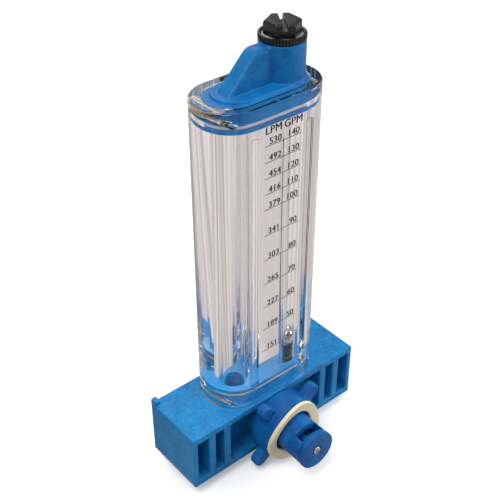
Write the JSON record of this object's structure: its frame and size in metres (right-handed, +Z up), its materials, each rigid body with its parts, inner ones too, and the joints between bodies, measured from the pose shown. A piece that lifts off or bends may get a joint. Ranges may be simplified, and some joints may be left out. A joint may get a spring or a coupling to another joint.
{
  "type": "variable area flow meter",
  "caption": "Clear variable-area flow meter with a float, standing on a blue strap-on base block with a pitot stem, saddle collar and gasket.",
  "frame": {"origin": "centre of the base block's underside", "axes": "+Z up along the meter body, -Y along the pitot stem towards the pipe, +X along the base block towards the metering bore's end"},
  "size_m": [0.102, 0.0632, 0.2165],
  "materials": {
    "blue_plastic": "satin moulded plastic with a fine mould texture",
    "clear_acrylic": "polished clear acrylic",
    "black_plastic": "glossy moulded plastic",
    "black_rubber": "dull seal rubber",
    "cream_rubber": "soft matt gasket rubber",
    "grey_nylon": "satin washer plastic",
    "polished_steel": "polished stainless steel",
    "brass_pin": "drawn rod, lightly tarnished"
  },
  "bodies": {
    "root": {"base_block": "blue_plastic", "meter_body": "clear_acrylic", "top_cap": "blue_plastic", "lower_spigot_seal": "black_rubber", "upper_spigot_seal": "black_rubber", "lower_left_pin": "brass_pin", "lower_right_pin": "brass_pin", "upper_left_pin": "brass_pin", "upper_right_pin": "brass_pin", "float_seat": "black_plastic", "float_stop": "black_plastic"},
    "float": {"float_ball": "polished_steel"},
    "plug_lift": {"plug_washer": "grey_nylon", "plug_seal": "black_rubber"},
    "plug": {"vent_plug": "black_plastic", "knurled_ring": "black_plastic"},
    "collar": {"saddle_collar": "blue_plastic", "saddle_gasket": "cream_rubber"},
    "pitot": {"pitot_stem": "blue_plastic", "stem_end_disc": "blue_plastic", "end_screw": "polished_steel", "rear_stem_seal": "black_rubber", "middle_stem_seal": "black_rubber", "front_stem_seal": "black_rubber", "retaining_clip": "polished_steel"}
  },
  "joints": [
    {"name": "float_rise", "type": "slide", "parent": "root", "child": "float", "axis": [0, 0, 1], "range_m": [0, 0.1178]},
    {"name": "plug_rise", "type": "slide", "parent": "root", "child": "plug_lift", "axis": [0, 0, 1], "range_m": [0, 0.006]},
    {"name": "plug_turn", "type": "hinge", "parent": "plug_lift", "child": "plug", "pos_m": [0.0133, 0, 0.2], "axis": [0, 0, 1], "range_deg": [0, 1440]},
    {"name": "collar_turn", "type": "hinge", "parent": "root", "child": "collar", "pos_m": [0, -0.02, 0.014], "axis": [0, -1, 0], "range_deg": [-90, 90]},
    {"name": "pitot_turn", "type": "hinge", "parent": "root", "child": "pitot", "pos_m": [0, -0.02, 0.014], "axis": [0, -1, 0], "range_deg": [-90, 90]}
  ],
  "couplings": [
    {"joint": "plug_rise", "follows": "plug_turn", "m_per_rad": 0.00023873}
  ]
}
